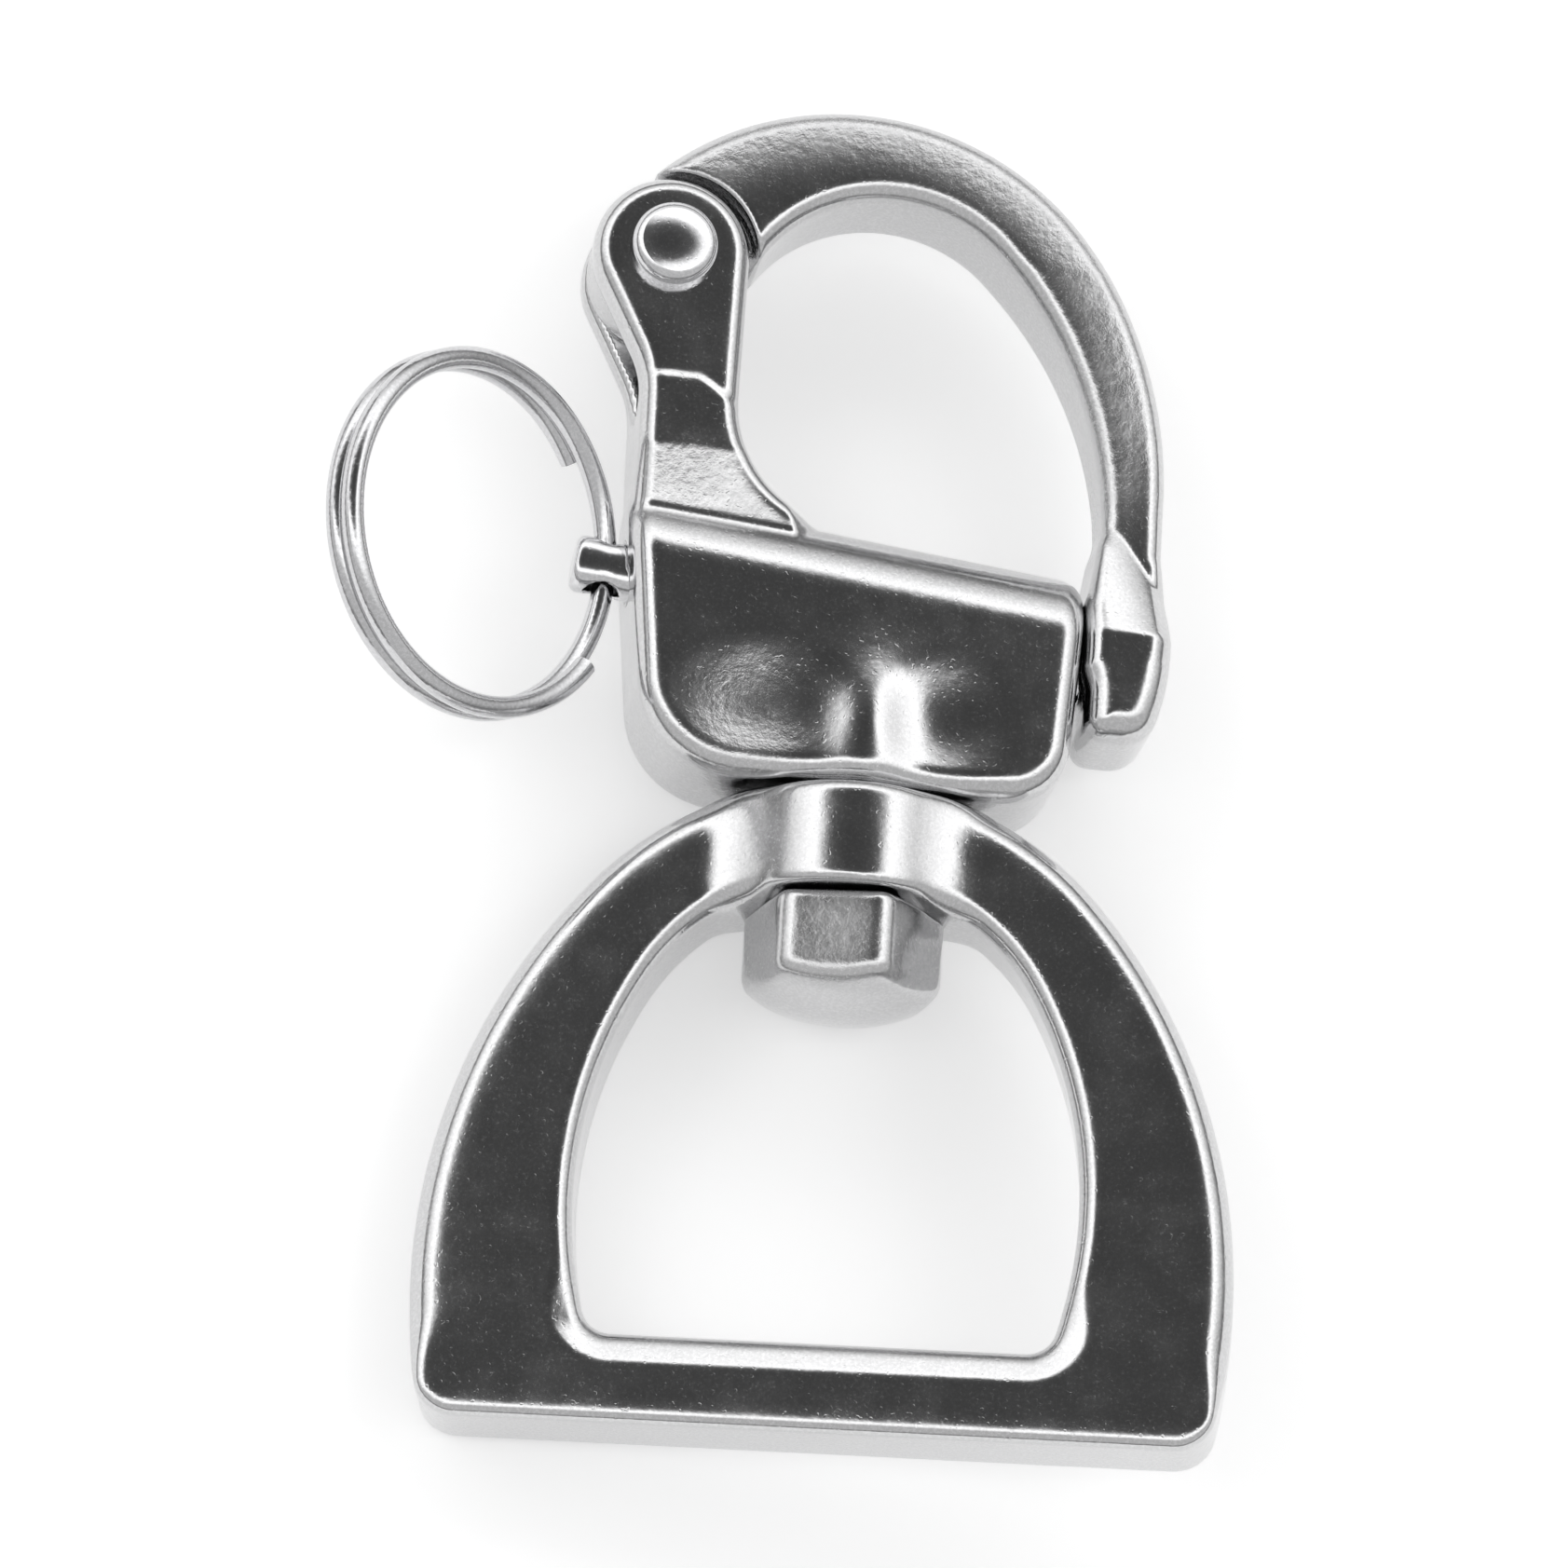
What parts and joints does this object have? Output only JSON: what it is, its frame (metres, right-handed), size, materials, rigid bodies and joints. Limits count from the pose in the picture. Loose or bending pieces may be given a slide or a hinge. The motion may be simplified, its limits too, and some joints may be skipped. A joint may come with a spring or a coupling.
{
  "type": "snap shackle",
  "caption": "Swivel snap shackle for a boat's rigging: a D-shaped webbing bail on a swivel, a forked body, and a hinged jaw locked by a sprung plunger with a pull ring.",
  "frame": {"origin": "middle of the flat inner face of the bail's crossbar, on the swivel axis", "axes": "+Y along the load line from the bail to the gate, +Z out of the front face as it lies on its back, +X towards the gate's free end"},
  "size_m": [0.0646, 0.0921, 0.0234],
  "materials": {
    "cast_steel": "polished stainless casting, lightly pitted",
    "turned_steel": "polished stainless",
    "spring_steel": "drawn stainless wire"
  },
  "bodies": {
    "body": {"body": "cast_steel", "gate_rivet": "turned_steel", "swivel_bolt": "turned_steel", "plunger_spring": "spring_steel"},
    "bail": {"bail": "cast_steel"},
    "gate": {"gate": "cast_steel"},
    "plunger": {"plunger": "turned_steel"},
    "ring": {"split_ring": "spring_steel"}
  },
  "joints": [
    {"name": "bail_swivel", "type": "hinge", "parent": "body", "child": "bail", "pos_m": [0, 0.034, 0], "axis": [0, 1, 0], "continuous": true},
    {"name": "gate_pivot", "type": "hinge", "parent": "body", "child": "gate", "pos_m": [-0.01495, 0.0741, 0], "axis": [0, 0, 1], "range_deg": [0, 120]},
    {"name": "plunger_slide", "type": "slide", "parent": "body", "child": "plunger", "axis": [-0.9945, 0.1045, 0], "range_m": [0, 0.0046], "stiffness_N_per_m": 1500, "springref_m": -0.003, "deforming": ["plunger_spring"]},
    {"name": "ring_swing", "type": "hinge", "parent": "plunger", "child": "ring", "pos_m": [-0.01759, 0.05255, 0], "axis": [0.1045, 0.9945, 0], "range_deg": [-100, 20]}
  ]
}
